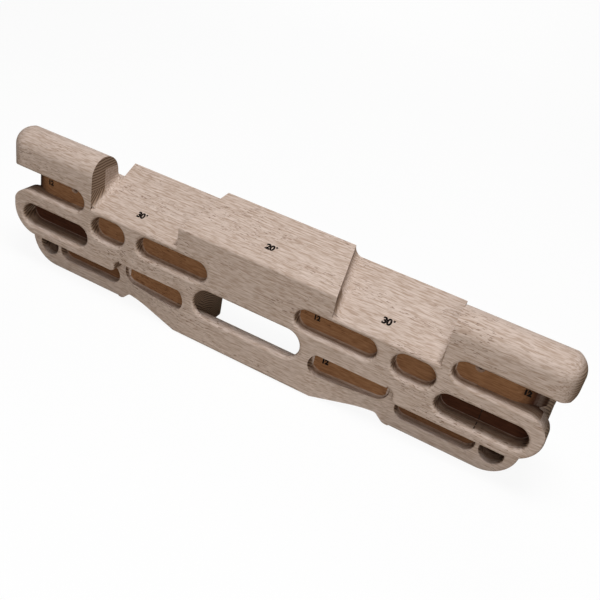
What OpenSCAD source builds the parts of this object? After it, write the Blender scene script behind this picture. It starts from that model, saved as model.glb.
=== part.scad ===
// Climbing hangboard milled from a glued-up beech blank.
// The blank is three layers deep. Each layer is edge-glued from staves that run the length
// of the board, and the middle layer is staggered by half a stave.
// Every stave is its own solid, cut out of the milled shape along its glue lines.
// Frame: X along the board, Y towards the wall with the back face at Y = 0, Z up.
// Z = 0 is the front edge of the two outer slopers.

/* [Blank] */
// Thickness of one glued layer
layer_t = 22; // [21:0.5:26]
// Width of a full stave
stave_w = 41.5; // [41:0.5:44]
// Level of the first glue line of the front and back layers
stave_top = 21; // [20.5:0.5:22]
// Distance from the middle to the butt joint in the third front stave
butt_joint_x = 254.5; // [246:0.5:262]

/* [Overall] */
// Half length over the jugs
half_l = 327; // [322:1:345]
// Lowest edge of the board below the slopers' front edge
bottom_drop = 104; // [101:0.5:110]
// Radius on the long front edges
edge_r = 4; // [1:0.5:6]
// Radius on the edges that touch the wall
back_edge_r = 2; // [1:0.5:4]

/* [Slopers] */
// Slope of the outer slopers
outer_slope = 30; // [26:0.5:32]
// Slope of the middle sloper
middle_slope = 20; // [16:0.5:20]
// Height of the middle sloper's front edge
middle_rise = 24.5; // [23:0.5:25]
// Half width of the middle sloper at the front
middle_front_w = 92.5; // [86:0.5:98]
// Half width of the middle sloper at the wall
middle_back_w = 77; // [70:0.5:84]
// Radius of the coves at the feet of the steps
cove_r = 8; // [4:0.5:9]
// Where a cove starts behind the front face, at the level of the outer sloper's edge
cove_start = 3; // [2.5:0.5:6]
// Height above that edge at which a cove's end comes forward to the front face
cove_start_rise = 10; // [8:1:16]

/* [Jugs] */
// Distance from the middle to the inner face of a jug
jug_x = 207; // [204:0.5:212]
// Top of the jugs
jug_top = 56.5; // [55:0.5:62]
// Radius of the jug's front shoulder
jug_front_r = 20; // [12:0.5:20]
// Radius of the jug's back shoulder
jug_back_r = 23.5; // [16:0.5:23.5]
// Radius of the jug's lower outer corner
jug_heel_r = 13; // [6:0.5:14]
// Height of the ledge behind the jugs
ledge_z = 17.5; // [16:0.5:18]

/* [Slots under the jugs] */
// Inner end of the slots
slot_x = 218; // [215:0.5:224]
// Level of the slots' floor
slot_floor = -10.5; // [-12:0.5:-9]
// Height of the slots
slot_h = 24.8; // [22:0.2:26]
// Depth of the slots
slot_depth = 12; // [8:0.5:15]
// Radius of the curve in which the back wall runs out
slot_runout_r = 42; // [20:1:46]

/* [Front plate] */
// Half length of the front plate
plate_x = 318; // [314:0.5:322]
// Level of the front plate's lower edge
plate_bottom = -65; // [-66:0.5:-64]
// Depth of the step from the front plate back to the wings
wing_step = 15; // [10:0.5:18]
// Radius of the front plate's lower outer corners
plate_corner_r = 31; // [20:1:31]
// Radius of the front plate's upper outer corners
plate_top_r = 23; // [4:0.5:23]
// Radius on the plate's lower and outer front edges
plate_edge_r = 3; // [1:0.5:5]
// Radii of the S in which the plate's lower edge rises to the belly's facets
s_curve_r = 7; // [5:0.5:7]

/* [Wings and belly] */
// Half length of the body behind the front plate
body_x = 313; // [311:0.5:318]
// Half length of the wings at their lower edge
wing_x = 303; // [300:0.5:308]
// Radius of the wings' lower corners
wing_corner_r = 35; // [20:1:40]
// Radius on the wings' lower front edges
wing_edge_r = 2; // [1:0.5:3]
// Where the belly's facets start
facet_x = 75; // [72:0.5:78]
// Where the facets reach the wings
facet_end_x = 171; // [168:0.5:173]
// Radius of the blends at both ends of the facets
facet_blend_r = 60; // [20:5:80]
// Rise of the lower edge beside the belly
arch_rise = 10.5; // [6:0.5:14]
// Where the lower edge starts to rise beside the belly
arch_start_x = 84; // [78:0.5:92]
// Where the rise is full
arch_full_x = 140; // [130:0.5:142]
// Where the lower edge turns down to the wing
arch_turn_x = 157; // [155:0.5:159]
// Where it reaches the wing
arch_end_x = 167; // [165:0.5:168]
// Radius of the bend where the rise is full
arch_full_r = 120; // [40:5:125]
// Radius of the bend towards the wing
arch_turn_r = 6; // [3:0.5:8]
// Radius of the wing's inner lower corner
arch_end_r = 10; // [4:0.5:10]

/* [Pockets] */
// Radius of the mouths' round-over
lip_r = 4; // [1:0.5:4.5]
// Radius of the mouths' round-over in the wings
wing_lip_r = 2; // [0.5:0.5:2]
// Radius at the back corner of the pockets
root_r = 3; // [1:0.5:5]
// Depth of the shallow pockets
shallow_depth = 12; // [8:0.5:18]
// Depth of the two-finger pockets
pair_depth = 13; // [10:0.5:18]
// Depth of the large pockets
large_depth = 20; // [16:0.5:21]
// Depth of the facet pockets
facet_depth = 12.5; // [8:0.5:16]
// Angle at which the facet pockets turn away from the front
facet_turn = 4.5; // [0:0.5:8]
// Depth of the long edges in the wings
edge_depth = 10; // [6:0.5:14]
// Depth of the one-finger holes
mono_depth = 25; // [20:0.5:28]

/* [Centre grip] */
// Half length of the through slot
grip_x = 65; // [60:0.5:66]
// Top of the through slot
grip_top = -36; // [-38:0.5:-35]
// Top of the bar under the through slot
grip_bar_top = -69.5; // [-72:0.5:-67]
// Radius of the bar's back shoulder
grip_bar_r = 15; // [8:0.5:17]

/* [Wall screws] */
// Distance from the middle to the screw holes
screw_x = 240; // [232:0.5:245]
// Level of the upper screw holes
screw_top_z = 8.5; // [4:0.5:9]
// Level of the lower screw holes
screw_low_z = -32.5; // [-42:0.5:-32]
// Diameter of the screw holes
screw_d = 6; // [5:0.5:7]
// Diameter of the countersinks
sink_d = 10; // [9:0.5:11]

/* [Hidden] */

board_d = 3 * layer_t;
bar_d = 2 * layer_t;
bottom_z = -bottom_drop;
slot_top = slot_floor + slot_h;
slope_back_z = board_d * tan(outer_slope);
middle_back_z = middle_rise + board_d * tan(middle_slope);

// Cutters run past the surfaces by this much, and start this much in front of a mouth
over = 5;
skim = 0.05;

// A cove starts this much below the faces that it joins
bite = 0.02;

// A rounded corner's piece runs past the corner by this share of its distance from the arc's middle
past_corner = 1 / 8;

// Bounds that lie clear of the board at its ends, above it and below it
past_end = 50;
past_top = 20;
far = half_l + past_end;
tall = jug_top + past_top;
low = bottom_z - over;

// The ledge behind a jug starts this much outside the foot of the jug's cove
ledge_inset = 2;

// Sides of a full circle, for round ends and corners, for turned edges and for holes
corner_sides = 64;
turned_sides = 96;
hole_sides = 48;

// Plain colours of the wood
beech = [0.80, 0.70, 0.60];
beech_core = [0.74, 0.62, 0.50];
beech_back = [0.68, 0.56, 0.45];

// Pockets on one side: [inner end, outer end, level of the axis, radius]
shallow_pocket = [53.5, 144, -18, 12];
pair_pocket = [161, 206, -19, 13.5];
large_pocket = [211.5, 304.5, -40, 13];
facet_pocket = [78, 166, -63.2, 13.7];
edge_pocket = [174, 260, -78.5, 11];
mono_pocket = [265, 290, -79, 12.5];
facet_top = facet_pocket[2] + facet_pocket[3];

// A rounded corner of an outline: the piece between the corner v and an arc of radius r.
// It runs a little past the corner, so that no sliver is left along the sides.
function flat(v) = [v[0], v[1]];
function unit(v) = v / norm(v);
module corner_piece(p, v, q, r) {
    u = unit(p - v);
    w = unit(q - v);
    half = acos(u * w) / 2;
    middle = v + unit(u + w) * r / sin(half);
    difference() {
        polygon([v + (v - middle) * past_corner, v + u * r / tan(half), middle, v + w * r / tan(half)]);
        translate(middle) circle(r, $fn = corner_sides);
    }
}

// The corners of an anticlockwise outline that turn left (1) or right (-1)
module corner_pieces(pts, side) {
    n = len(pts);
    for (i = [0:n - 1]) {
        p = flat(pts[(i + n - 1) % n]);
        v = flat(pts[i]);
        q = flat(pts[(i + 1) % n]);
        if (pts[i][2] > 0 && side * cross(v - p, q - v) > 0)
            corner_piece(p, v, q, pts[i][2]);
    }
}

// An outline from anticlockwise corners given as [x, y, radius]
module outline(pts) {
    difference() {
        union() {
            polygon([for (p = pts) flat(p)]);
            corner_pieces(pts, -1);
        }
        corner_pieces(pts, 1);
    }
}

// Extrusions of a section drawn in [y, z], [x, z] or [x, y]
module along_x(x0, x1) {
    translate([x0, 0, 0])
        rotate([90, 0, 90])
            linear_extrude(x1 - x0)
                children();
}

module along_y(y0, y1) {
    translate([0, y1, 0])
        rotate([90, 0, 0])
            linear_extrude(y1 - y0)
                children();
}

module along_z(z0, z1) {
    translate([0, 0, z0])
        linear_extrude(z1 - z0)
            children();
}

// The stave in hand is $stave = [x0, x1, y0, y1, z0, z1], seen from the side in hand.
// A shape is drawn only for the staves that it can reach.
module both_sides() {
    s = $stave;
    if (s[1] > 0)
        children();
    if (s[0] < 0)
        mirror([1, 0, 0])
            let ($stave = [-s[1], -s[0], s[2], s[3], s[4], s[5]])
                children();
}

module reaching(x0, x1, y0, y1, z0, z1) {
    s = $stave;
    if (x1 > s[0] && x0 < s[1] && y1 > s[2] && y0 < s[3] && z1 > s[4] && z0 < s[5])
        children();
}

// Section of a pocket in [distance from the axis, depth]
module pocket_section(r, depth, lip) {
    mouth = lip > 0 ? [[r + lip, -over, 0], [r + lip, -skim, 0], [r, -skim, lip]] : [[r, -over, 0]];
    outline(concat(
        [[0, -over, 0]],
        mouth,
        [[r, depth, min(root_r, r / 2)], [0, depth, 0]]
    ));
}

// Half of a pocket's round end, turned about the pocket's axis
module pocket_end(x, z, r, depth, lip, turn) {
    translate([x, 0, z])
        rotate([-90, 0, 0])
            rotate([0, 0, turn])
                rotate_extrude(angle = 180, $fn = corner_sides)
                    pocket_section(r, depth, lip);
}

// A pocket milled straight in along +Y from a mouth at y = 0
module pocket(x0, x1, z, r, depth, lip) {
    pocket_end(x0 + r, z, r, depth, lip, 90);
    pocket_end(x1 - r, z, r, depth, lip, -90);
    if (x1 - x0 > 2 * r + skim)
        for (flip = [0, 180])
            translate([x0 + r, 0, z])
                rotate([flip, 0, 0])
                    mirror([0, flip / 180, 0])
                        along_x(0, x1 - x0 - 2 * r)
                            rotate(90)
                                mirror([0, 1])
                                    pocket_section(r, depth, lip);
}

module pocket_in(p, y, depth, lip) {
    reaching(p[0] - lip, p[1] + lip, y, y + depth, p[2] - p[3] - lip, p[2] + p[3] + lip)
        translate([0, y, 0])
            pocket(p[0], p[1], p[2], p[3], depth, lip);
}

// The outer slopers and the solid body below them, jug to jug
module sloper_body() {
    reaching(-jug_x, jug_x, 0, board_d, bottom_z, slope_back_z)
        along_x(-jug_x, jug_x)
            outline([
                [0, bottom_z, edge_r],
                [board_d, bottom_z, back_edge_r],
                [board_d, slope_back_z, 0],
                [0, 0, edge_r]
            ]);
}

// Section through the middle sloper
module middle_section() {
    outline([
        [0, plate_bottom, 0],
        [board_d, plate_bottom, 0],
        [board_d, middle_back_z, 0],
        [0, middle_rise, edge_r]
    ]);
}

// The middle sloper, narrower at the wall than at the front
module middle_sloper() {
    reaching(-middle_front_w, middle_front_w, 0, board_d, plate_bottom, middle_back_z)
        intersection() {
            along_x(-middle_front_w, middle_front_w) middle_section();
            along_z(plate_bottom, tall)
                polygon([
                    [-middle_front_w, 0], [middle_front_w, 0],
                    [middle_back_w, board_d], [-middle_back_w, board_d]
                ]);
        }
}

// How far a cove runs, in [y, z]: it starts behind the outer sloper's rounded front edge,
// and its end leans forward as it rises
module cove_run(depth) {
    lean = cove_start / cove_start_rise;
    polygon([
        [cove_start + cove_r * lean, -cove_r], [depth, -cove_r],
        [depth, tall], [0, tall], [0, cove_start_rise]
    ]);
}

// Cove where the middle sloper's side meets the outer sloper
module step_cove() {
    inset = middle_front_w - middle_back_w;
    yaw = atan(inset / board_d);
    run = norm([inset, board_d]);
    pitch = atan(slope_back_z / run);
    lean = asin(sin(outer_slope) * sin(yaw));
    reaching(middle_back_w, middle_front_w + 2 * cove_r, 0, board_d, -cove_r, middle_back_z)
        intersection() {
            translate([middle_front_w, 0, 0])
                rotate([0, 0, yaw])
                    rotate([pitch, 0, 0])
                        along_y(-run, 2 * run)
                            translate([-bite, -bite])
                                corner_piece([0, 1], [0, 0], [1, tan(lean)], cove_r);
            along_x(0, far) cove_run(board_d);
        }
}

// Section of a jug: tight front shoulder, wide back shoulder that falls to the ledge
module jug_section(level) {
    outline([
        [0, level, 0],
        [bar_d, level, 0],
        [bar_d, jug_top, jug_back_r],
        [0, jug_top, jug_front_r]
    ]);
}

// Cove where the outer sloper meets the jug's inner face
module jug_cove() {
    reaching(jug_x - 2 * cove_r, jug_x, 0, bar_d, -cove_r, jug_top)
        intersection() {
            translate([jug_x, 0, 0])
                rotate([outer_slope, 0, 0])
                    along_y(-board_d, board_d)
                        translate([bite, -bite])
                            corner_piece([0, 1], [0, 0], [-1, 0], cove_r);
            along_x(0, far) cove_run(bar_d);
        }
}

// A jug: the section run out to an end that is turned about a vertical axis
module jug_bar() {
    heel_z = slot_top - lip_r;
    end_r = bar_d / 2;
    reaching(jug_x, half_l, 0, bar_d, heel_z, jug_top)
        intersection() {
            along_x(jug_x, half_l) jug_section(heel_z);
            along_y(-over, bar_d + over)
                outline([
                    [0, heel_z, 0],
                    [half_l, heel_z, jug_heel_r],
                    [half_l, jug_top, 0],
                    [0, jug_top, 0]
                ]);
            union() {
                translate([jug_x, 0, heel_z])
                    cube([half_l - end_r - jug_x, bar_d, tall]);
                translate([half_l - end_r, end_r, 0])
                    rotate_extrude($fn = turned_sides)
                        outline([
                            [0, heel_z, 0],
                            [end_r, heel_z, 0],
                            [end_r, jug_top, jug_front_r],
                            [0, jug_top, 0]
                        ]);
            }
        }
}

// The body at one end of the board. Above the slot's floor its front runs out in a wide curve,
// in a piece that starts as far below that floor as the floor lies below the slopers' front edges.
module end_body() {
    inner = jug_x - over;
    runout_z = 2 * slot_floor;
    reaching(inner, body_x, slot_depth, board_d, bottom_z, slot_floor)
        along_y(slot_depth, board_d)
            outline([
                [inner, bottom_z, 0],
                [wing_x, bottom_z, wing_corner_r],
                [wing_x, bottom_z + wing_corner_r + skim, 0],
                [body_x, slot_floor - plate_top_r - skim, 0],
                [body_x, slot_floor, plate_top_r],
                [inner, slot_floor, 0]
            ]);
    reaching(jug_x, body_x, slot_depth, board_d, runout_z, ledge_z)
        along_z(runout_z, ledge_z)
            outline([
                [jug_x, slot_depth, 0],
                [body_x, slot_depth, slot_runout_r],
                [body_x, board_d, back_edge_r],
                [jug_x, board_d, 0]
            ]);
}

// The front plate at one end of the board, up to the underside of the jug
module end_plate() {
    inner = jug_x - over;
    reaching(inner, plate_x, 0, wing_step + over, plate_bottom, slot_top)
        intersection() {
            along_y(0, wing_step + over)
                outline([
                    [inner, plate_bottom, 0],
                    [plate_x, plate_bottom, plate_corner_r],
                    [plate_x, slot_floor, plate_top_r],
                    [slot_x + slot_h, slot_floor, 0],
                    [slot_x + slot_h, slot_top, 0],
                    [jug_x, slot_top, 0],
                    [jug_x, slot_floor, 0],
                    [inner, slot_floor, 0]
                ]);
            along_z(plate_bottom, slot_top)
                outline([
                    [inner, 0, 0],
                    [plate_x, 0, plate_edge_r],
                    [plate_x, board_d, 0],
                    [inner, board_d, 0]
                ]);
        }
}

// The open slot under a jug
module open_slot() {
    r = slot_h / 2;
    reaching(slot_x, far, 0, slot_depth, slot_floor, slot_top)
        pocket(slot_x, far, slot_floor + r, r, slot_depth, lip_r);
}

// The ledge behind a jug
module ledge_cut() {
    inner = jug_x - cove_r + ledge_inset;
    reaching(inner, far, bar_d, board_d, ledge_z, tall)
        translate([inner, bar_d, ledge_z])
            cube([far - inner, board_d, tall]);
}

// What is milled off in front of the wings and of the belly's facets
module lower_front_cut() {
    reaching(facet_x, far, 0, wing_step, low, facet_top)
        intersection() {
            along_z(low, facet_top + over)
                outline([
                    [facet_x - facet_blend_r, -over, 0],
                    [far, -over, 0],
                    [far, wing_step, 0],
                    [facet_end_x, wing_step, facet_blend_r],
                    [facet_x, 0, facet_blend_r],
                    [facet_x - facet_blend_r, 0, 0]
                ]);
            along_y(-2 * over, board_d)
                outline([
                    [facet_x - over, low, 0],
                    [far, low, 0],
                    [far, plate_bottom, 0],
                    [facet_end_x, plate_bottom, s_curve_r],
                    [facet_end_x, facet_top, s_curve_r],
                    [facet_x - over, facet_top, 0]
                ]);
        }
}

// Radius on a long lower edge at depth y and level z, from x0 to x1
module lower_edge_round(x0, x1, y, z, r) {
    reaching(x0, x1, y, y + r, z, z + r)
        along_x(x0, x1)
            corner_piece([y, z + r], [y, z], [y + r, z], r);
}

// Radius on the front edge of a corner that has a radius of its own about [x, z], over a
// quarter turn that starts at the angle given
module corner_edge_round(x, y, z, corner_r, r, start) {
    reaching(x - corner_r, x + corner_r, y, y + r, z - corner_r, z + corner_r)
        translate([x, y, z])
            rotate([90, 0, 0])
                rotate([0, 0, start])
                    rotate_extrude(angle = 90, $fn = turned_sides)
                        corner_piece([corner_r, -r], [corner_r, 0], [corner_r - r, 0], r);
}

// Radius on a wing's lower front edge and round its outer corner
module wing_edge_round() {
    corner_x = wing_x - wing_corner_r;
    lower_edge_round(facet_end_x + wing_edge_r, corner_x, wing_step, bottom_z, wing_edge_r);
    corner_edge_round(corner_x, wing_step, bottom_z + wing_corner_r, wing_corner_r, wing_edge_r, -90);
}

// The same on the front plate
module plate_edge_round() {
    corner_x = plate_x - plate_corner_r;
    lower_edge_round(facet_end_x + s_curve_r, corner_x, 0, plate_bottom, plate_edge_r);
    corner_edge_round(corner_x, 0, plate_bottom + plate_corner_r, plate_corner_r, plate_edge_r, -90);
}

// The same on the S: round its outer bend, up its straight and round its inner bend
module s_curve_round() {
    r = plate_edge_r;
    foot = plate_bottom + s_curve_r;
    head = facet_top - s_curve_r;
    corner_edge_round(facet_end_x + s_curve_r, 0, foot, s_curve_r, r, 180);
    reaching(facet_end_x - s_curve_r, facet_end_x + r, 0, r, foot, facet_top + r) {
        along_z(foot, head)
            corner_piece([facet_end_x + r, 0], [facet_end_x, 0], [facet_end_x, r], r);
        translate([facet_end_x - s_curve_r, 0, head])
            rotate([90, 0, 0])
                rotate_extrude(angle = 90, $fn = turned_sides)
                    corner_piece([s_curve_r + r, 0], [s_curve_r, 0], [s_curve_r, -r], r);
    }
}

// The shallow arch in the lower edge between the belly and a wing
module lower_arch() {
    top_z = bottom_z + arch_rise;
    run = arch_end_x + arch_end_r + over;
    reaching(arch_start_x, run, 0, board_d, low, top_z)
        along_y(-over, board_d + over)
            outline([
                [arch_start_x, low, 0],
                [run, low, 0],
                [run, bottom_z, 0],
                [arch_end_x, bottom_z, arch_end_r],
                [arch_turn_x, top_z, arch_turn_r],
                [arch_full_x, top_z, arch_full_r],
                [arch_start_x, bottom_z, 0]
            ]);
}

// The through slot, with the space behind its bar open downwards
module centre_grip() {
    r = (grip_top - grip_bar_top) / 2;
    reaching(-grip_x - lip_r, grip_x + lip_r, 0, board_d, low, grip_top + lip_r) {
        pocket(-grip_x, grip_x, grip_bar_top + r, r, board_d + root_r + over, lip_r);
        along_x(-grip_x, grip_x)
            outline([
                [layer_t, low, 0],
                [board_d + over, low, 0],
                [board_d + over, grip_bar_top + r, 0],
                [lip_r, grip_bar_top + r, 0],
                [lip_r, grip_bar_top, 0],
                [layer_t, grip_bar_top, grip_bar_r]
            ]);
    }
}

// A countersunk screw hole from the back wall of a recess of the given depth
module screw_hole(x, z, depth) {
    sink_r = sink_d / 2;
    reaching(x - sink_r, x + sink_r, depth, board_d, z - sink_r, z + sink_r)
        translate([x, depth, z])
            rotate([-90, 0, 0]) {
                translate([0, 0, -over])
                    cylinder(d = screw_d, h = board_d + 2 * over, $fn = hole_sides);
                translate([0, 0, -over])
                    cylinder(d = sink_d, h = over - skim, $fn = hole_sides);
                translate([0, 0, -skim])
                    cylinder(d1 = sink_d, d2 = screw_d, h = (sink_d - screw_d) / 2, $fn = hole_sides);
            }
}

// A pocket that turns away from the front about the start of a facet
module pocket_on_facet() {
    p = facet_pocket;
    reaching(p[0] - over, p[1] + over, 0, board_d / 2, p[2] - p[3], p[2] + p[3])
        translate([facet_x, 0, 0])
            rotate([0, 0, facet_turn])
                pocket(p[0] - facet_x, p[1] - facet_x, p[2], p[3], facet_depth, 0);
}

// The milled shape before its recesses
module shape() {
    sloper_body();
    middle_sloper();
    both_sides() {
        step_cove();
        jug_cove();
        jug_bar();
        end_body();
        end_plate();
    }
}

module recesses() {
    both_sides() {
        open_slot();
        ledge_cut();
        lower_front_cut();
        lower_arch();
        wing_edge_round();
        plate_edge_round();
        s_curve_round();
        pocket_in(shallow_pocket, 0, shallow_depth, lip_r);
        pocket_in(pair_pocket, 0, pair_depth, lip_r);
        pocket_in(large_pocket, 0, large_depth, lip_r);
        pocket_in(edge_pocket, wing_step, edge_depth, wing_lip_r);
        pocket_in(mono_pocket, wing_step, mono_depth, wing_lip_r);
        pocket_on_facet();
        screw_hole(screw_x, screw_top_z, slot_depth);
        screw_hole(screw_x, screw_low_z, large_depth);
    }
    centre_grip();
}

// The part of the board that one stave takes, with depth counted from the front face
module stave(layer, z0, z1, x0 = -far, x1 = far) {
    y0 = (layer - 1) * layer_t;
    $stave = [x0, x1, y0, y0 + layer_t, z0, z1];
    translate([0, -board_d, 0])
        difference() {
            intersection() {
                union() shape();
                translate([x0, y0, z0])
                    cube([x1 - x0, layer_t, z1 - z0]);
            }
            recesses();
        }
}

// Glue lines of the outer layers, and of the middle layer half a stave off
row_1 = stave_top;
row_2 = row_1 - stave_w;
row_3 = row_2 - stave_w;
core_1 = row_1 + stave_w / 2;
core_2 = core_1 - stave_w;
core_3 = core_2 - stave_w;
core_4 = core_3 - stave_w;
jug_in = jug_x - 2 * cove_r;
crown = middle_front_w + 2 * cove_r;

module front_stave_jug_left() { color(beech) stave(1, row_1, tall, -far, -jug_in); }
module front_stave_crown() { color(beech) stave(1, row_1, tall, -crown, crown); }
module front_stave_jug_right() { color(beech) stave(1, row_1, tall, jug_in, far); }
module front_stave_upper() { color(beech) stave(1, row_2, row_1); }
module front_stave_middle() { color(beech) stave(1, row_3, row_2, -far, butt_joint_x); }
module front_stave_middle_end() { color(beech) stave(1, row_3, row_2, butt_joint_x, far); }
module front_stave_lower() { color(beech) stave(1, low, row_3); }
module core_stave_jug_left() { color(beech_core) stave(2, core_1, tall, -far, -jug_in); }
module core_stave_jug_right() { color(beech_core) stave(2, core_1, tall, jug_in, far); }
module core_stave_top() { color(beech_core) stave(2, core_2, core_1); }
module core_stave_upper() { color(beech_core) stave(2, core_3, core_2); }
module core_stave_middle_left() { color(beech_core) stave(2, core_4, core_3, -far, 0); }
module core_stave_middle_right() { color(beech_core) stave(2, core_4, core_3, 0, far); }
module core_stave_foot_left() { color(beech_core) stave(2, low, core_4, -far, 0); }
module core_stave_foot_right() { color(beech_core) stave(2, low, core_4, 0, far); }
module back_stave_top() { color(beech_back) stave(3, row_1, tall); }
module back_stave_upper() { color(beech_back) stave(3, row_2, row_1); }
module back_stave_middle() { color(beech_back) stave(3, row_3, row_2); }
module back_stave_lower_left() { color(beech_back) stave(3, low, row_3, -far, 0); }
module back_stave_lower_right() { color(beech_back) stave(3, low, row_3, 0, far); }

front_stave_jug_left();
front_stave_crown();
front_stave_jug_right();
front_stave_upper();
front_stave_middle();
front_stave_middle_end();
front_stave_lower();
core_stave_jug_left();
core_stave_jug_right();
core_stave_top();
core_stave_upper();
core_stave_middle_left();
core_stave_middle_right();
core_stave_foot_left();
core_stave_foot_right();
back_stave_top();
back_stave_upper();
back_stave_middle();
back_stave_lower_left();
back_stave_lower_right();
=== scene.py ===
"""Looks of the hangboard: glued beech staves, milled to shape and sanded, with the numbers burnt in."""
import math

import bpy
import numpy as np
from mathutils import Matrix, Vector


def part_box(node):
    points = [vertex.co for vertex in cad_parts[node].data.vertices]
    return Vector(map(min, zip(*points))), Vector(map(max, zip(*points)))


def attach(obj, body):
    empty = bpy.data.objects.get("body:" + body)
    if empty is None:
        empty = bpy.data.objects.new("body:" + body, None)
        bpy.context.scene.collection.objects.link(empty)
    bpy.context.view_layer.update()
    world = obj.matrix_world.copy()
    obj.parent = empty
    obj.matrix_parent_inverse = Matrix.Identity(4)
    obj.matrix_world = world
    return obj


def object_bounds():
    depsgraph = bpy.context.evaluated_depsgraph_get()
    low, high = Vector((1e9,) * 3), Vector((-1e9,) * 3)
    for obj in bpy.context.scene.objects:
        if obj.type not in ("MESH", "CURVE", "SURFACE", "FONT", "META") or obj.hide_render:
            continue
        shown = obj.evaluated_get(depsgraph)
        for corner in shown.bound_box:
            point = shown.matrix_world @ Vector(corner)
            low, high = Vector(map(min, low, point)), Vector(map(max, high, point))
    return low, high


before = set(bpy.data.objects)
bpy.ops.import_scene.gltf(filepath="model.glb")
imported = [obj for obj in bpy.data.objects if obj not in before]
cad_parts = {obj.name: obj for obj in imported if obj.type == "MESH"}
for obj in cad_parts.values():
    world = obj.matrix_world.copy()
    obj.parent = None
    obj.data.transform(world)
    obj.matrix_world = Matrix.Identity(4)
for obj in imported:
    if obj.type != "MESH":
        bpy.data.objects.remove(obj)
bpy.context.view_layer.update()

scene = bpy.context.scene
scene.view_settings.view_transform = "Standard"

# Lengths are in metres, and X runs along the board, Y towards the wall and Z up

# The low corner of the front row's end stave: it meets its neighbour end to end at this x, and its
# face lies in the board's front plane
BUTT_PLANE, FRONT = (float(v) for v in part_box("front_stave_middle_end")[0][:2])

# The slopers: their slope in degrees and the height of their front edge
OUTER_SLOPER = (30, 0.0)
MIDDLE_SLOPER = (20, 0.0245)

# The wings lie behind the front plane by this step, below this level and past this x
WING_STEP = 0.015
WING_TOP = -0.065
WING_FROM = 0.171

# The belly's facets run from the front plane, at this x, back to the wings, and lie below this level
FACET_FROM = 0.075
FACET_TOP = -0.0495

# Boxes round the holds on either side: |x| from and to, then z from and to
HOLDS = {
    "shallow pocket": (0.0545, 0.1435, -0.0335, -0.0025),
    "two-finger pocket": (0.162, 0.2055, -0.0355, -0.0025),
    "large pocket": (0.2125, 0.304, -0.0565, -0.0235),
    "facet pocket": (0.080, 0.161, -0.0795, -0.0496),
    "edge in the wing": (0.174, 0.260, -0.0915, -0.0651),
    "one-finger hole": (0.263, 0.292, -0.093, -0.0651),
    "slot under the jug": (0.2195, 0.3165, -0.0135, 0.0175),
}

# Where the photograph was taken from, then degrees round from the front towards +X, degrees up,
# and degrees of roll about the line of sight
CAMERA_AT = (0.30145, -0.68455, 0.41645)
CAMERA_AZIMUTH = 21.67
CAMERA_ELEVATION = 31.813
CAMERA_ROLL = 12.166
LENS_MM = 47.71
SENSOR_MM = 36
FAR_CLIP = 30

# Lamps that face the origin: degrees round from the front, degrees up, distance, side and watts.
# The key lamp is nearly overhead, the fill is low in front, and the last one is for what looks back.
LAMPS = {
    "key": (30, 79, 1.6, 0.65, 20),
    "fill": (18, 18, 2.2, 2.0, 26),
    "behind": (196, 25, 2.4, 1.6, 18),
}

# Strength of the light that comes from all round
EVEN_LIGHT = 0.05


# Camera
def place_camera():
    """The camera stands where the photograph's perspective puts it."""
    data = bpy.data.cameras.new("camera")
    data.sensor_width = SENSOR_MM
    data.lens = LENS_MM
    data.clip_end = FAR_CLIP
    camera = bpy.data.objects.new("camera", data)
    round_by = Matrix.Rotation(math.radians(CAMERA_AZIMUTH), 4, "Z")
    up_by = Matrix.Rotation(math.radians(90 - CAMERA_ELEVATION), 4, "X")
    roll_by = Matrix.Rotation(math.radians(CAMERA_ROLL), 4, "Z")
    camera.matrix_world = Matrix.Translation(CAMERA_AT) @ round_by @ up_by @ roll_by
    scene.collection.objects.link(camera)
    scene.camera = camera


# Node trees
def feed(tree, socket, value):
    """A link into a socket, or a plain value on it."""
    if isinstance(value, bpy.types.NodeSocket):
        tree.links.new(value, socket)
    else:
        socket.default_value = value


def add(tree, kind, inputs=None, **settings):
    """A node with its settings, and with plain values or links on its inputs."""
    node = tree.nodes.new(kind)
    for name, value in settings.items():
        setattr(node, name, value)
    for name, value in (inputs or {}).items():
        feed(tree, node.inputs[name], value)
    return node


def maths(tree, operation, a, b=0.0, c=0.0, clamp=False):
    """The result of one sum on values or links."""
    return add(tree, "ShaderNodeMath", {0: a, 1: b, 2: c}, operation=operation, use_clamp=clamp).outputs[0]


def ramp(tree, value, low, high, out_low=0.0, out_high=1.0, kind="SMOOTHSTEP"):
    """A value carried from one range to another, held at both ends."""
    return add(tree, "ShaderNodeMapRange", {
        "Value": value, "From Min": low, "From Max": high, "To Min": out_low, "To Max": out_high,
    }, interpolation_type=kind).outputs[0]


def blended(tree, factor, a, b, how="MIX"):
    """Two colours blended by a factor. A Mix node has its colours on inputs 6 and 7 and on output 2."""
    mix = add(tree, "ShaderNodeMix", {"Factor": factor, 6: a, 7: b}, data_type="RGBA", blend_type=how)
    return mix.outputs[2]


def chosen(tree, factor, a, b):
    """One number where the factor is 0 and the other where it is 1."""
    return add(tree, "ShaderNodeMix", {0: factor, 2: a, 3: b}, data_type="FLOAT").outputs[0]


def sum_of(tree, a, b):
    """Two vectors added."""
    return add(tree, "ShaderNodeVectorMath", {0: a, 1: b}, operation="ADD").outputs[0]


def parts_of(tree, vector):
    """The X, Y and Z of a vector."""
    return add(tree, "ShaderNodeSeparateXYZ", {"Vector": vector}).outputs


def noise(tree, place, cells, detail=2.0, roughness=0.5):
    """Noise with its own number of cells per metre along X, Y and Z."""
    stretched = add(tree, "ShaderNodeVectorMath", {0: place, 1: cells}, operation="MULTIPLY").outputs[0]
    return add(tree, "ShaderNodeTexNoise", {
        "Vector": stretched, "Scale": 1.0, "Detail": detail, "Roughness": roughness,
    }).outputs[0]


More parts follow.
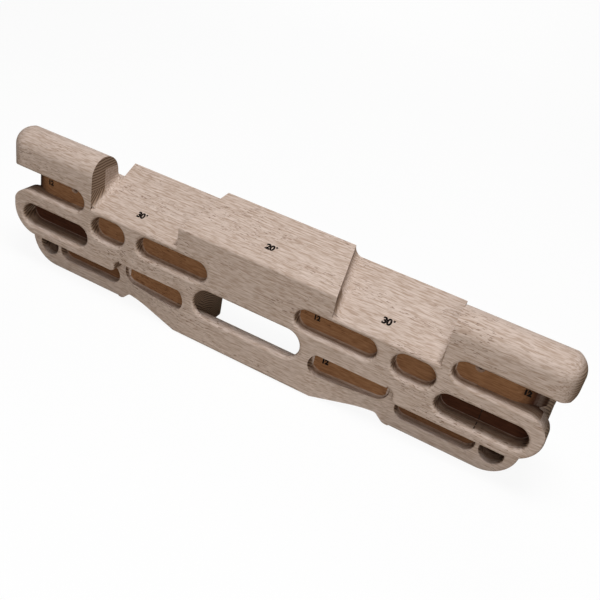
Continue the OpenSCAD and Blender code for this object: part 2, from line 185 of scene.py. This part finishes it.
def patches(tree, place, mark, detail=2.0, roughness=0.5):
    """One kind of mark: 0 where its noise is below the first limit, and 1 where it is above the second."""
    cells, start, full = mark
    return ramp(tree, noise(tree, place, cells, detail, roughness), start, full)


def group(name, inputs, outputs):
    """An empty node group with named sockets: its tree, what it is given and what it makes."""
    tree = bpy.data.node_groups.new(name, "ShaderNodeTree")
    for label, kind in inputs.items():
        tree.interface.new_socket(label, in_out="INPUT", socket_type="NodeSocket" + kind)
    for label, kind in outputs.items():
        tree.interface.new_socket(label, in_out="OUTPUT", socket_type="NodeSocket" + kind)
    return tree, tree.nodes.new("NodeGroupInput").outputs, tree.nodes.new("NodeGroupOutput").inputs


def grouped(tree, which, inputs):
    """A node group placed in a material with its own values."""
    return add(tree, "ShaderNodeGroup", inputs, node_tree=which).outputs


def new_material(name):
    """A material that holds only a Principled shader: the material, its tree and the shader."""
    material = bpy.data.materials.new(name)
    material.use_nodes = True
    tree = material.node_tree
    tree.nodes.clear()
    shader = tree.nodes.new("ShaderNodeBsdfPrincipled")
    out = tree.nodes.new("ShaderNodeOutputMaterial")
    tree.links.new(shader.outputs[0], out.inputs[0])
    return material, tree, shader


# The grain of the wood

# Colours of sanded wood, of the late part of a ring, and of a fleck
PALE = (0.640, 0.525, 0.460, 1)
LATE = (0.385, 0.278, 0.212, 1)
PORE = (0.200, 0.125, 0.085, 1)

# Growth rings: their width, what is added to the radius, and how far slow noise bends them.
# The late part comes in and stops at these shares of a ring.
RING_WIDTH = 0.0031
RING_START = 0.5
RING_BEND = 0.016
LATE_COMES = (0.25, 0.9)
LATE_STOPS = (1.0, 0.92)

# Noise in the wood: cells per metre along X, Y and Z, which bend the rings and let fibres waver
BEND_CELLS = (2.2, 9, 9)
WAVER_CELLS = (38, 14, 14)
WAVER = 0.0025

# Marks in the wood: cells per metre along X, Y and Z, and the noise at which they start and are full.
# Dashes show as flecks only inside the clusters.
STREAKS = ((5, 60, 60), 0.30, 0.75)
FIBRES = ((80, 940, 940), 0.34, 0.66)
RIPPLES = ((95, 640, 640), 0.41, 0.62)
DASHES = ((170, 900, 900), 0.62, 0.67)
CLUSTER_CELLS = (9, 30, 30)
CLUSTER_COMES = (0.44, 0.60)

# How far each mark takes the colour towards the late wood's, and a fleck towards its own
STREAK_WEIGHT = 0.14
FIBRE_WEIGHT = 0.34
RIPPLE_WEIGHT = 0.40
FLECK_WEIGHT = 0.8

# How high the fibres lie, where a fleck's bottom is at -1, and the roughness off them and on them
FIBRE_HEIGHT = -0.4
SANDED = (0.56, 0.70)


def beech_grain():
    """Beech in the round: growth rings about the log's heart, which runs along X, bent by slow noise;
    long streaks and fibres along X, and short ripples that waver; and short dark flecks in clusters."""
    tree, given, made = group("beech_grain", {
        "Place": "Vector", "Shift": "Vector", "Heart Y": "Float", "Heart Z": "Float", "Tone": "Float",
        "Ring Weight": "Float", "Fleck Reach": "Float",
    }, {"Color": "Color", "Rings": "Float", "Height": "Float", "Roughness": "Float"})
    place = sum_of(tree, given["Place"], given["Shift"])
    at = parts_of(tree, given["Place"])

    across = maths(tree, "SUBTRACT", at["Y"], given["Heart Y"])
    upward = maths(tree, "SUBTRACT", at["Z"], given["Heart Z"])
    squares = maths(tree, "ADD", maths(tree, "POWER", across, 2.0), maths(tree, "POWER", upward, 2.0))
    bend = maths(tree, "MULTIPLY_ADD", noise(tree, place, BEND_CELLS), RING_BEND, RING_START)
    radius = maths(tree, "ADD", maths(tree, "SQRT", squares), bend)
    year = maths(tree, "FRACT", maths(tree, "DIVIDE", radius, RING_WIDTH))
    late = maths(tree, "MULTIPLY", ramp(tree, year, *LATE_COMES), ramp(tree, year, *LATE_STOPS))

    centred = maths(tree, "SUBTRACT", noise(tree, place, WAVER_CELLS, detail=1.0), 0.5)
    waver = maths(tree, "MULTIPLY", centred, WAVER)
    lean = add(tree, "ShaderNodeCombineXYZ", {"X": 0.0, "Y": waver, "Z": waver}).outputs[0]
    wavy = sum_of(tree, place, lean)
    streak = patches(tree, place, STREAKS, detail=4.0, roughness=0.6)
    fibre = patches(tree, wavy, FIBRES)
    ripple = patches(tree, wavy, RIPPLES, detail=1.0)
    dash = patches(tree, wavy, DASHES, detail=1.0)
    reach = maths(tree, "ADD", noise(tree, place, CLUSTER_CELLS), given["Fleck Reach"])
    flecks = maths(tree, "MULTIPLY", dash, ramp(tree, reach, *CLUSTER_COMES))

    shade = maths(tree, "MULTIPLY", late, given["Ring Weight"])
    for mark, weight in ((streak, STREAK_WEIGHT), (fibre, FIBRE_WEIGHT), (ripple, RIPPLE_WEIGHT)):
        shade = maths(tree, "ADD", shade, maths(tree, "MULTIPLY", mark, weight))
    shade = maths(tree, "ADD", shade, given["Tone"], clamp=True)
    colour = blended(tree, shade, PALE, LATE)
    colour = blended(tree, maths(tree, "MULTIPLY", flecks, FLECK_WEIGHT), colour, PORE)
    height = maths(tree, "SUBTRACT", maths(tree, "MULTIPLY", fibre, FIBRE_HEIGHT), flecks)
    tree.links.new(colour, made["Color"])
    tree.links.new(late, made["Rings"])
    tree.links.new(height, made["Height"])
    tree.links.new(ramp(tree, fibre, 0, 1, *SANDED, "LINEAR"), made["Roughness"])
    return tree


# The marks of the milling, and the masks for the painted shade in the holds

# The cutter's passes: their pitch, the shares of it at which a line comes in and goes out,
# the |normal Y| below which a wall shows them, and the noise that breaks them up
PASS_PITCH = 0.0042
PASS_COMES = (0.0, 0.12)
PASS_STOPS = (0.35, 0.2)
PASS_WALLS = (0.35, 0.1)
PASS_BREAKS = ((60, 20, 60), 0.4, 0.65)

# Depths, and parts of the normal, between which a hold's walls come in or stop
BACK_DEPTH = (0.003, 0.0045)
BACK_FACES = (-0.6, -0.85)
DEEP_DEPTH = (0.012, 0.020)
WALL_DEPTH = (0.002, 0.010)
WALL_LIMIT = (0.034, 0.030)
WALL_FACES = (0.85, 0.6)

# How deep the holds in the wings count for the painted shade, from 0 for a shallow one to 1 for a deep one;
# it stands for the shadow of the plate above them
WING_SHADOW_SHARE = 0.5


def tool_marks():
    """Passes of the milling cutter on walls that stand along the cutter's axis, which is Y:
    fine lines at even depths, kept off faces that look along Y, and broken up by noise."""
    tree, given, made = group("tool_marks", {"Place": "Vector", "Normal": "Vector"}, {"Marks": "Float"})
    at = parts_of(tree, given["Place"])
    facing = parts_of(tree, given["Normal"])
    wall = ramp(tree, maths(tree, "ABSOLUTE", facing["Y"]), *PASS_WALLS)
    line = maths(tree, "FRACT", maths(tree, "DIVIDE", at["Y"], PASS_PITCH))
    line = maths(tree, "MULTIPLY", ramp(tree, line, *PASS_COMES), ramp(tree, line, *PASS_STOPS))
    line = maths(tree, "MULTIPLY", line, patches(tree, given["Place"], PASS_BREAKS))
    tree.links.new(maths(tree, "MULTIPLY", line, wall), made["Marks"])
    return tree


def inside_holds(tree, out, height):
    """1 inside any hold's box, from |x| and z."""
    inside = 0.0
    for left, right, low, high in HOLDS.values():
        near_x = maths(tree, "COMPARE", out, (left + right) / 2, (right - left) / 2)
        near_z = maths(tree, "COMPARE", height, (low + high) / 2, (high - low) / 2)
        inside = maths(tree, "MAXIMUM", maths(tree, "MULTIPLY", near_x, near_z), inside)
    return inside


def recess_backs():
    """The insides of the holds, by their depth behind the front, the facet or the wing they are cut in.
    Backs is 1 on back walls, which look forward. Walls grows with the depth on the walls round them.
    Deep tells the deep holds from the shallow ones, and gives the holds in the wings a share of it for the
    painted shadow of the plate above them. These masks place the tints of the holds, which are mostly
    painted shade."""
    tree, given, made = group("recess_backs", {"Place": "Vector", "Normal": "Vector"},
                              {"Backs": "Float", "Walls": "Float", "Deep": "Float"})
    at = parts_of(tree, given["Place"])
    facing = parts_of(tree, given["Normal"])
    out = maths(tree, "ABSOLUTE", at["X"])
    inside = inside_holds(tree, out, at["Z"])

    past = maths(tree, "GREATER_THAN", out, WING_FROM)
    below_wing = maths(tree, "LESS_THAN", at["Z"], WING_TOP)
    below_facet = maths(tree, "LESS_THAN", at["Z"], FACET_TOP)
    facet = ramp(tree, out, FACET_FROM, WING_FROM, 0.0, WING_STEP, "LINEAR")
    facet = maths(tree, "MULTIPLY", facet, below_facet)
    wing = maths(tree, "MULTIPLY", below_wing, WING_STEP)
    behind = chosen(tree, past, facet, wing)
    depth = maths(tree, "SUBTRACT", maths(tree, "SUBTRACT", at["Y"], FRONT), behind)

    # Painted shadow: the holds in the wings count partly as deep, for the shadow of the plate above them
    wing_shadow = maths(tree, "MULTIPLY", maths(tree, "MULTIPLY", past, below_wing), WING_SHADOW_SHARE)
    deep = maths(tree, "MAXIMUM", ramp(tree, depth, *DEEP_DEPTH), wing_shadow)
    forward = ramp(tree, facing["Y"], *BACK_FACES)
    back = maths(tree, "MULTIPLY", ramp(tree, depth, *BACK_DEPTH), forward)
    aside = ramp(tree, maths(tree, "ABSOLUTE", facing["Y"]), *WALL_FACES)
    sunk = maths(tree, "MULTIPLY", ramp(tree, depth, *WALL_DEPTH), ramp(tree, depth, *WALL_LIMIT))
    sunk = maths(tree, "MULTIPLY", sunk, aside)
    tree.links.new(maths(tree, "MULTIPLY", back, inside), made["Backs"])
    tree.links.new(maths(tree, "MULTIPLY", sunk, inside), made["Walls"])
    tree.links.new(deep, made["Deep"])
    return tree


GRAIN = beech_grain()
MARKS = tool_marks()
BACKS = recess_backs()

# The staves

# Colours of end grain, early and late in a ring, and the |normal X| between which it comes in
END_PALE = (0.310, 0.215, 0.150, 1)
END_DARK = (0.075, 0.043, 0.027, 1)
END_FACES = (0.55, 0.95)

# What the wood is multiplied by on back walls and on the walls round them, in shallow and deep holds: in
# the shallow holds partly the browner colour of unsanded milled wood and partly painted shade, and in the
# deep holds painted shade that is near black; and how much rougher all of them are
MILLED_AND_SHADED = (0.50, 0.31, 0.17, 1)
DEEP_BACK_SHADE = (0.105, 0.042, 0.020, 1)
WALL_MILLED_AND_SHADED = (0.60, 0.50, 0.41, 1)
DEEP_WALL_SHADE = (0.15, 0.085, 0.050, 1)
HOLLOW_ROUGHNESS = 0.4

# The cutter's lines, and how strongly they show
SCORCH = (0.20, 0.12, 0.075, 1)
SCORCH_WEIGHT = 0.22

# The butt joint: its glue, the half width over which it fades, how far behind the front plane it
# starts to show, and the noise that breaks it up
GLUE = (0.015, 0.009, 0.006, 1)
GLUE_FADES = (0.0007, 0.0003)
GLUE_COMES = (0.0035, 0.0055)
GLUE_BREAKS = ((40, 260, 260), 0.34, 0.46)

# The plain gloss of the wood, and its relief
WOOD_SPECULAR = 0.2
GRAIN_BUMP = {"Strength": 0.35, "Distance": 0.00012}

# Each stave's own piece of a log: its shift in the noise, the heart's direction in half turns and its
# distance, and how much darker or paler than the rest it is
LOG_SEED = 11
SHIFT = 4
HEART_TURN = (0.2, 0.8)
HEART_REACH = (0.07, 0.16)
TONE = (-0.07, 0.09)

# The jugs show flat grain with more flecks: their heart lies in this direction, at this distance
JUG_HEART_DEGREES = 97
JUG_HEART_REACH = 0.13
JUG_FLECKS = 0.09

# How strongly growth rings show, on most staves and on those that end in the steps beside the middle
# sloper, whose end grain is pale
RING_WEIGHT = 0.16
STEP_RINGS = {"core_stave_top": 0.20, "back_stave_top": 0.32, "front_stave_crown": 0.20}
STEP_END = 0.3


def butt_joint(tree, place):
    """Where the glue of the butt joint shows: a thin broken line on the plane, inside the holds only."""
    at = parts_of(tree, place)
    start, full = GLUE_COMES
    off = maths(tree, "ABSOLUTE", maths(tree, "SUBTRACT", at["X"], BUTT_PLANE))
    inside = ramp(tree, at["Y"], FRONT + start, FRONT + full)
    shown = maths(tree, "MULTIPLY", inside, patches(tree, place, GLUE_BREAKS))
    return maths(tree, "MULTIPLY", ramp(tree, off, *GLUE_FADES), shown)


def beech(name, shift, heart, tone, rings, flecks, ends, butt=False):
    """Beech of one stave: sanded outside and darker on end grain; in the holds duller, and painted darker
    and browner, partly as unsanded milled wood and partly as painted shade, with the deep holds painted
    near black as shade; with faint tool marks and, where asked, a dark butt joint."""
    material, tree, shader = new_material(name)
    seen = add(tree, "ShaderNodeTexCoord").outputs
    surface = {"Place": seen["Object"], "Normal": seen["Normal"]}
    grain = grouped(tree, GRAIN, {
        "Place": seen["Object"], "Shift": shift, "Heart Y": heart[0], "Heart Z": heart[1], "Tone": tone,
        "Ring Weight": rings, "Fleck Reach": flecks,
    })
    marks = grouped(tree, MARKS, surface)
    backs = grouped(tree, BACKS, surface)

    facing = parts_of(tree, seen["Normal"])
    end = ramp(tree, maths(tree, "ABSOLUTE", facing["X"]), *END_FACES, 0.0, ends)
    colour = blended(tree, end, grain["Color"], blended(tree, grain["Rings"], END_PALE, END_DARK))
    # Painted shade: the backs and walls of the holds are multiplied darker and browner, partly as unsanded
    # wood, and near black in the deep holds
    milled = blended(tree, backs["Deep"], MILLED_AND_SHADED, DEEP_BACK_SHADE)
    colour = blended(tree, backs["Backs"], colour, milled, "MULTIPLY")
    walls_milled_and_shaded = blended(tree, backs["Deep"], WALL_MILLED_AND_SHADED, DEEP_WALL_SHADE)
    colour = blended(tree, backs["Walls"], colour, walls_milled_and_shaded, "MULTIPLY")
    colour = blended(tree, maths(tree, "MULTIPLY", marks["Marks"], SCORCH_WEIGHT), colour, SCORCH)
    if butt:
        colour = blended(tree, butt_joint(tree, seen["Object"]), colour, GLUE)
    tree.links.new(colour, shader.inputs["Base Color"])

    hollow = maths(tree, "MAXIMUM", backs["Backs"], backs["Walls"])
    dull = maths(tree, "MULTIPLY", hollow, HOLLOW_ROUGHNESS)
    tree.links.new(maths(tree, "ADD", grain["Roughness"], dull, clamp=True), shader.inputs["Roughness"])
    shader.inputs["Specular IOR Level"].default_value = WOOD_SPECULAR
    bump = add(tree, "ShaderNodeBump", {"Height": grain["Height"], **GRAIN_BUMP})
    tree.links.new(bump.outputs[0], shader.inputs["Normal"])
    return material


def dress_staves():
    """Each stave is cut from its own piece of a log: its own shift along it, its own heart and tone."""
    order = np.random.RandomState(LOG_SEED)
    for node, stave in sorted(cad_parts.items()):
        shift = tuple(float(v) for v in order.uniform(-SHIFT, SHIFT, 3))
        angle = order.uniform(*HEART_TURN) * math.pi * (1 if order.rand() < 0.5 else -1)
        reach = order.uniform(*HEART_REACH)
        tone = float(order.uniform(*TONE))
        jug = "jug" in node
        if jug:
            angle = math.radians(JUG_HEART_DEGREES)
            reach = JUG_HEART_REACH
        low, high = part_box(node)
        middle = (np.array(low) + np.array(high)) / 2
        heart = (float(middle[1] + reach * math.cos(angle)), float(middle[2] + reach * math.sin(angle)))
        look = beech(
            "beech_" + node, shift, heart, tone,
            rings=STEP_RINGS.get(node, RING_WEIGHT),
            flecks=JUG_FLECKS if jug else 0.0,
            ends=STEP_END if node in STEP_RINGS else 1.0,
            butt=node.startswith("front_stave_middle"),
        )
        stave.data.materials.clear()
        stave.data.materials.append(look)


# The burnt numbers

# The burn's two colours, the noise that mixes them, its roughness in the one and in the other, its
# plain gloss and its relief
CHAR = (0.003, 0.002, 0.002, 1)
SINGED = (0.012, 0.007, 0.005, 1)
CHAR_PATCHES = ((900, 2500, 2500), 0.35, 0.7)
CHAR_ROUGHNESS = (0.7, 0.9)
CHAR_SPECULAR = 0.1
CHAR_BUMP = {"Strength": 0.4, "Distance": 0.0001}

# A digit's height as a share of the font's size, its extra weight as a share of its height, the
# spacing of the digits, and how many steps each curve of an outline gets
DIGIT_SHARE = 0.73
DIGIT_WEIGHT = 0.075
DIGIT_SPACING = 0.95
DIGIT_STEPS = 4

# A number's slab reaches this far into the wood and stands this far out of it
SLAB_SINK = 0.00012
SLAB_RISE = 0.00010

# Directions along the board and up it
ALONG = (1, 0, 0)
UPRIGHT = (0, 0, 1)

# The slopers' numbers: the digits, their height, the x and y of their middle, and the sloper
SLOPER_NUMBERS = {
    "number_left_sloper": ("30", 0.0070, -0.1515, -0.0498, OUTER_SLOPER),
    "number_right_sloper": ("30", 0.0074, 0.1418, -0.0482, OUTER_SLOPER),
    "number_middle_sloper": ("20", 0.0072, 0.0035, -0.0439, MIDDLE_SLOPER),
}

# The sign for degrees: how far it stands aside and above, and its size, as shares of a digit's height
DEGREE_ASIDE = 0.88
DEGREE_ABOVE = 0.36
DEGREE_SIZE = 0.62

# The numbers on the back walls of the holds: their middle, and the degrees they turn with the wall
HOLD_DIGITS = "12"
HOLD_DIGIT_HEIGHT = 0.0058
HOLD_NUMBERS = {
    "number_right_facet": ((0.0926, -0.0528, -0.0623), 4.5),
    "number_left_slot": ((-0.2734, -0.0540, 0.0037), 0),
    "number_right_slot": ((0.2878, -0.0540, 0.0038), 0),
    "number_right_pocket": ((0.0737, -0.0540, -0.0157), 0),
}


def burnt():
    """Numbers burnt by a laser: near black, browner and patchy where the burn is shallow."""
    material, tree, shader = new_material("burnt_wood")
    seen = add(tree, "ShaderNodeTexCoord").outputs
    patch = patches(tree, seen["Object"], CHAR_PATCHES, detail=3.0)
    tree.links.new(blended(tree, patch, CHAR, SINGED), shader.inputs["Base Color"])
    tree.links.new(ramp(tree, patch, 0, 1, *CHAR_ROUGHNESS, "LINEAR"), shader.inputs["Roughness"])
    shader.inputs["Specular IOR Level"].default_value = CHAR_SPECULAR
    bump = add(tree, "ShaderNodeBump", {"Height": patch, **CHAR_BUMP})
    tree.links.new(bump.outputs[0], shader.inputs["Normal"])
    return material


BURNT = burnt()


def flat_slab(name, words, height):
    """Words as a thin closed slab round the plane Z = 0, as a mesh."""
    curve = bpy.data.curves.new(name, "FONT")
    curve.body = words
    curve.size = height / DIGIT_SHARE
    curve.align_x = "CENTER"
    curve.align_y = "CENTER"
    curve.offset = DIGIT_WEIGHT * height
    curve.space_character = DIGIT_SPACING
    curve.extrude = (SLAB_SINK + SLAB_RISE) / 2
    curve.resolution_u = DIGIT_STEPS
    flat = bpy.data.objects.new(name + "_flat", curve)
    scene.collection.objects.link(flat)
    ready = bpy.context.evaluated_depsgraph_get()
    mesh = bpy.data.meshes.new_from_object(flat.evaluated_get(ready))
    bpy.data.objects.remove(flat)
    return mesh


def burnt_number(name, words, height, middle, right, up):
    """A flat slab carried to a plane: middle + x times right + y times up + z times the plane's normal,
    with x and y measured from the middle of the outline and z shifted so that the slab is sunk."""
    mesh = flat_slab(name, words, height)
    points = np.empty(len(mesh.vertices) * 3)
    mesh.vertices.foreach_get("co", points)
    points = points.reshape(-1, 3)
    points[:, :2] -= (points[:, :2].min(axis=0) + points[:, :2].max(axis=0)) / 2
    points[:, 2] += (SLAB_RISE - SLAB_SINK) / 2
    right = np.array(right, float) / np.linalg.norm(right)
    up = np.array(up, float) / np.linalg.norm(up)
    placed = np.array(middle) + points @ np.stack([right, up, np.cross(right, up)])
    mesh.vertices.foreach_set("co", placed.ravel())
    mesh.materials.clear()
    mesh.materials.append(BURNT)
    mesh.update()
    piece = bpy.data.objects.new(name, mesh)
    scene.collection.objects.link(piece)
    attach(piece, "root")


def on_sloper(x, y, sloper):
    """The point of a sloper at this x and y: as high as its front edge, and its rise over the way back."""
    slope, edge = sloper
    return (x, y, edge + (y - FRONT) * math.tan(math.radians(slope)))


def up_sloper(sloper):
    """The direction straight up a sloper."""
    slope = math.radians(sloper[0])
    return (0, math.cos(slope), math.sin(slope))


def burn_numbers():
    """The slopers' angles, each with a small ring for degrees at its upper right, and the holds' depths."""
    for name, (digits, height, x, y, sloper) in SLOPER_NUMBERS.items():
        up = up_sloper(sloper)
        burnt_number(name, digits, height, on_sloper(x, y, sloper), ALONG, up)
        sign_at = on_sloper(x + DEGREE_ASIDE * height, y + DEGREE_ABOVE * height * up[1], sloper)
        burnt_number(name + "_degree", "°", DEGREE_SIZE * height, sign_at, ALONG, up)
    for name, (middle, degrees) in HOLD_NUMBERS.items():
        turn = math.radians(degrees)
        along_wall = (math.cos(turn), math.sin(turn), 0)
        burnt_number(name, HOLD_DIGITS, HOLD_DIGIT_HEIGHT, middle, along_wall, UPRIGHT)


# The stage

# The floor lies this far under the board
FLOOR_DROP = 0.0003

# The paper's two tones, the noise that mixes them, and the colour in which it lights the object
PAPER_DIM = (0.90, 0.90, 0.90, 1)
PAPER_BRIGHT = (0.93, 0.93, 0.93, 1)
PAPER_CLOUDS = ((1.1, 1.1, 1.1), 0.3, 0.7)
PAPER_BOUNCE = (0.34, 0.30, 0.24, 1)
PAPER_ROUGHNESS = 0.9
PAPER_SPECULAR = 0.1

# The share of plain white in what the camera sees of the paper
PAPER_GLOW = 0.92

# The paper's half width, its near edge, where its wall stands and how high, and the bend between them
STAGE_HALF = 6.0
FLOOR_NEAR = -4.0
WALL_AT = 2.6
WALL_HEIGHT = 4.0
BEND_RADIUS = 1.0
BEND_POINTS = 24

WHITE = (1, 1, 1, 1)


def studio_paper():
    """Paper that the camera sees mostly as plain white, with a part of its shading left for the shadow.
    It throws little light back at the object, as a floor far below it would."""
    material, tree, shader = new_material("studio_paper")
    seen = add(tree, "ShaderNodeTexCoord").outputs
    path = add(tree, "ShaderNodeLightPath").outputs
    paper = blended(tree, patches(tree, seen["Object"], PAPER_CLOUDS), PAPER_DIM, PAPER_BRIGHT)
    tree.links.new(blended(tree, path["Is Camera Ray"], PAPER_BOUNCE, paper), shader.inputs["Base Color"])
    shader.inputs["Roughness"].default_value = PAPER_ROUGHNESS
    shader.inputs["Specular IOR Level"].default_value = PAPER_SPECULAR
    glow = add(tree, "ShaderNodeEmission", {"Color": WHITE, "Strength": 1.0})
    share = maths(tree, "MULTIPLY", path["Is Camera Ray"], PAPER_GLOW)
    both = add(tree, "ShaderNodeMixShader", {0: share, 1: shader.outputs[0], 2: glow.outputs[0]})
    tree.links.new(both.outputs[0], tree.nodes["Material Output"].inputs[0])
    return material


def lay_stage():
    """A floor that curves up into a backdrop. Its section in Y and Z is a level line, a quarter of a
    circle and an upright line, and it is carried straight along X."""
    floor_z = float(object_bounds()[0][2]) - FLOOR_DROP
    angles = np.linspace(0, math.pi / 2, BEND_POINTS)
    bend_y = WALL_AT - BEND_RADIUS + BEND_RADIUS * np.sin(angles)
    bend_z = floor_z + BEND_RADIUS - BEND_RADIUS * np.cos(angles)
    section = np.concatenate([
        [[FLOOR_NEAR, floor_z]], np.stack([bend_y, bend_z], axis=1), [[WALL_AT, floor_z + WALL_HEIGHT]],
    ])
    count = len(section)
    sides = np.repeat([-STAGE_HALF, STAGE_HALF], count)
    points = np.column_stack([sides, np.tile(section, (2, 1))])
    start = np.arange(count - 1)
    faces = np.stack([start, start + count, start + count + 1, start + 1], axis=1)
    mesh = bpy.data.meshes.new("studio_floor")
    mesh.from_pydata(points.tolist(), [], faces.tolist())
    mesh.polygons.foreach_set("use_smooth", np.full(len(faces), True))
    mesh.materials.append(studio_paper())
    floor = bpy.data.objects.new("studio_floor", mesh)
    scene.collection.objects.link(floor)


def hang_lamp(name, azimuth, elevation, distance, side, watts):
    """A square lamp that faces the origin, placed by degrees round from the front towards +X and by
    degrees up."""
    data = bpy.data.lights.new(name, "AREA")
    data.size = side
    data.energy = watts
    round_by = math.radians(azimuth)
    up_by = math.radians(elevation)
    level = math.cos(up_by)
    away = Vector((math.sin(round_by) * level, -math.cos(round_by) * level, math.sin(up_by)))
    turn = (-away).to_track_quat("-Z", "Y").to_matrix().to_4x4()
    lamp = bpy.data.objects.new(name, data)
    lamp.matrix_world = Matrix.Translation(distance * away) @ turn
    scene.collection.objects.link(lamp)


def light_stage():
    """The lamps, and a world that gives very little light but is white to the camera."""
    for name, settings in LAMPS.items():
        hang_lamp(name, *settings)
    world = bpy.data.worlds.new("studio")
    world.use_nodes = True
    tree = world.node_tree
    tree.nodes.clear()
    even = add(tree, "ShaderNodeBackground", {"Color": WHITE, "Strength": EVEN_LIGHT}).outputs[0]
    plain = add(tree, "ShaderNodeBackground", {"Color": WHITE, "Strength": 1.0}).outputs[0]
    path = add(tree, "ShaderNodeLightPath").outputs
    seen = maths(tree, "MAXIMUM", path["Is Camera Ray"], path["Is Transmission Ray"])
    both = add(tree, "ShaderNodeMixShader", {0: seen, 1: even, 2: plain}).outputs[0]
    add(tree, "ShaderNodeOutputWorld", {0: both})
    scene.world = world


place_camera()
dress_staves()
burn_numbers()
lay_stage()
light_stage()
